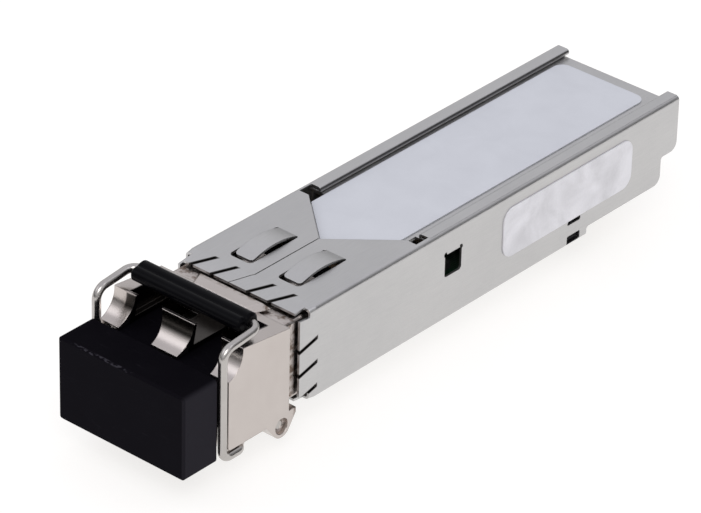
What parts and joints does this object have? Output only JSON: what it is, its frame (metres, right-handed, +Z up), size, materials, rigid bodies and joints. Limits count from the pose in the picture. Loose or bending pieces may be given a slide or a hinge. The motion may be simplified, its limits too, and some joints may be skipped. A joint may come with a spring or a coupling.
{
  "type": "pluggable optical transceiver",
  "caption": "Metal plug-in optical transceiver module with a duplex fibre port, wire bail latch, blank labels, rear edge connector and a black rubber dust plug.",
  "frame": {"origin": "on the centre line of the shell's underside, at the mouth of the cage it slides into", "axes": "+Y along the module towards its board edge, the way it goes in; +Z up, away from the underside; +X to the side with the label"},
  "size_m": [0.0142, 0.0615, 0.0121],
  "materials": {
    "shell_steel": "satin tinned sheet",
    "nickel": "nickel-plated casting",
    "spring_steel": "stamped spring steel",
    "wire_steel": "drawn wire",
    "black_plastic": "moulded",
    "black_rubber": "moulded rubber",
    "label": "blank satin label",
    "board": "solder mask",
    "gold": "plated contacts",
    "chip_black": "moulded package",
    "ceramic": "ceramic",
    "barrel_steel": "turned",
    "gold_can": "plated can",
    "flex": "polyimide film"
  },
  "bodies": {
    "housing": {"shell": "shell_steel", "inner_cover": "shell_steel", "nose_body": "nickel", "latch_pin": "nickel", "top_label": "label", "side_label": "label", "circuit_board": "board", "edge_contacts": "gold", "laser_driver": "chip_black", "receiver_amplifier": "chip_black", "controller_chip": "chip_black", "capacitors": "ceramic", "resistors": "chip_black", "inductors": "ceramic", "board_frame": "black_plastic", "tx_receptacle": "barrel_steel", "rx_receptacle": "barrel_steel", "tx_can": "gold_can", "rx_can": "gold_can", "tx_flex": "flex", "rx_flex": "flex", "optics_clamp": "black_plastic"},
    "bail": {"bail_wire": "wire_steel", "bail_cover": "black_plastic"},
    "latch": {"latch_lever": "spring_steel"},
    "plug": {"dust_plug": "black_rubber"}
  },
  "joints": [
    {"name": "plug_pull", "type": "slide", "parent": "housing", "child": "plug", "axis": [0, -1, 0], "range_m": [0, 0.024]},
    {"name": "bail_swing", "type": "hinge", "parent": "housing", "child": "bail", "pos_m": [0, -0.00635, -0.00055], "axis": [1, 0, 0], "range_deg": [0, 90.01]},
    {"name": "latch_rock", "type": "hinge", "parent": "housing", "child": "latch", "pos_m": [0, -0.002, -0.00062], "axis": [1, 0, 0], "range_deg": [0, 6.01]}
  ],
  "couplings": [
    {"joint": "bail_swing", "follows": "plug_pull", "rad_per_m": 65.45},
    {"joint": "latch_rock", "follows": "plug_pull", "rad_per_m": 4.3633}
  ]
}
